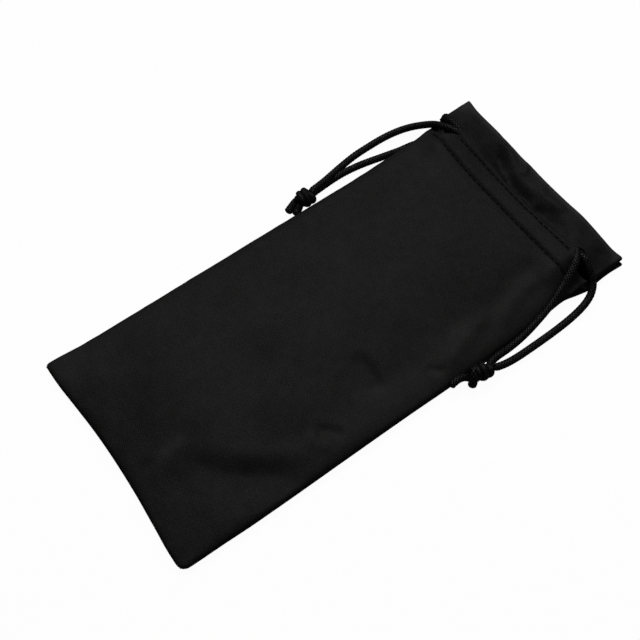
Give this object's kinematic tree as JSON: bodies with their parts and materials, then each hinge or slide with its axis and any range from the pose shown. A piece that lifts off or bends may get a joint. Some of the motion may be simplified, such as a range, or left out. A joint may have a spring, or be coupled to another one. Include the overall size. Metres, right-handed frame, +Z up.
{
  "type": "eyeglass pouch",
  "caption": "Flat microfibre drawstring pouch for glasses, with a casing and a frilled lip at the mouth and knotted drawcords leaving both sides.",
  "frame": {"origin": "middle of the pouch's outline on the surface that it lies on, cords left out", "axes": "+Y towards the mouth, +Z up from the surface that it lies on, +X to the right with the mouth away from the viewer"},
  "size_m": [0.1002, 0.181, 0.0108],
  "materials": {
    "microfibre": "matte black microfibre with a fine diagonal grain and a soft sheen",
    "cord": "black round braided polyester cord, slightly shiny",
    "thread": "black polyester sewing thread"
  },
  "bodies": {
    "pouch": {"front_panel": "microfibre", "front_hem": "microfibre", "back_panel": "microfibre", "back_hem": "microfibre", "front_lower_stitching": "thread", "front_upper_stitching": "thread", "back_lower_stitching": "thread", "back_upper_stitching": "thread", "left_seam_thread": "thread", "right_seam_thread": "thread", "bottom_seam_thread": "thread"},
    "lip": {"front_lip": "microfibre"},
    "left_cord": {"left_cord_front_run": "cord", "left_cord_back_run": "cord", "left_cord_bight": "cord"},
    "left_loop": {"left_cord_front_strand": "cord", "left_cord_back_strand": "cord", "left_cord_knot": "cord", "left_cord_tail_1": "cord", "left_cord_tail_2": "cord"},
    "right_cord": {"right_cord_front_run": "cord", "right_cord_back_run": "cord", "right_cord_bight": "cord"},
    "right_loop": {"right_cord_front_strand": "cord", "right_cord_back_strand": "cord", "right_cord_knot": "cord", "right_cord_tail_1": "cord", "right_cord_tail_2": "cord"}
  },
  "joints": [
    {"name": "lip_fold", "type": "hinge", "parent": "pouch", "child": "lip", "pos_m": [0, 0.07555, 0.0104], "axis": [1, 0, 0], "range_deg": [0, 100]},
    {"name": "left_cord_pull", "type": "slide", "parent": "pouch", "child": "left_cord", "axis": [-1, 0, 0], "range_m": [0, 0.004]},
    {"name": "left_loop_swing", "type": "hinge", "parent": "left_cord", "child": "left_loop", "pos_m": [-0.03945, 0.0701, 0.0047], "axis": [0, 0, -1], "range_deg": [0, 45]},
    {"name": "right_cord_pull", "type": "slide", "parent": "pouch", "child": "right_cord", "axis": [1, 0, 0], "range_m": [0, 0.008]},
    {"name": "right_loop_swing", "type": "hinge", "parent": "right_cord", "child": "right_loop", "pos_m": [0.03655, 0.0728, 0.0047], "axis": [0, 0, 1], "range_deg": [0, 45]}
  ]
}
